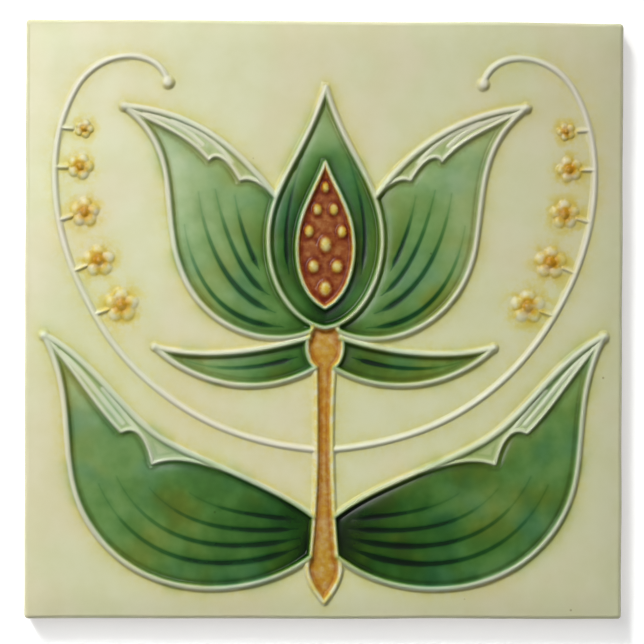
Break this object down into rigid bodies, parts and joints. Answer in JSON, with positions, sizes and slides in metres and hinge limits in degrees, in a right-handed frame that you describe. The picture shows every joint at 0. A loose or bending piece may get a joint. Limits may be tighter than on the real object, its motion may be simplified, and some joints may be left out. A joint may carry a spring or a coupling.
{
  "type": "majolica tile",
  "caption": "Square relief-moulded wall tile in coloured majolica glazes, with a raised-line lotus, broad leaves and floret tendrils on a cream ground, and a slotted back for bedding in mortar.",
  "frame": {"origin": "centre of the tile's back, on the bedding plane", "axes": "+Z out of the glazed face, +Y towards the top of the ornament, +X to the right of someone facing the tile"},
  "size_m": [0.152, 0.152, 0.0098],
  "materials": {
    "cream_glaze": "gloss"
  },
  "bodies": {
    "root": {"tile": "cream_glaze"}
  },
  "joints": []
}
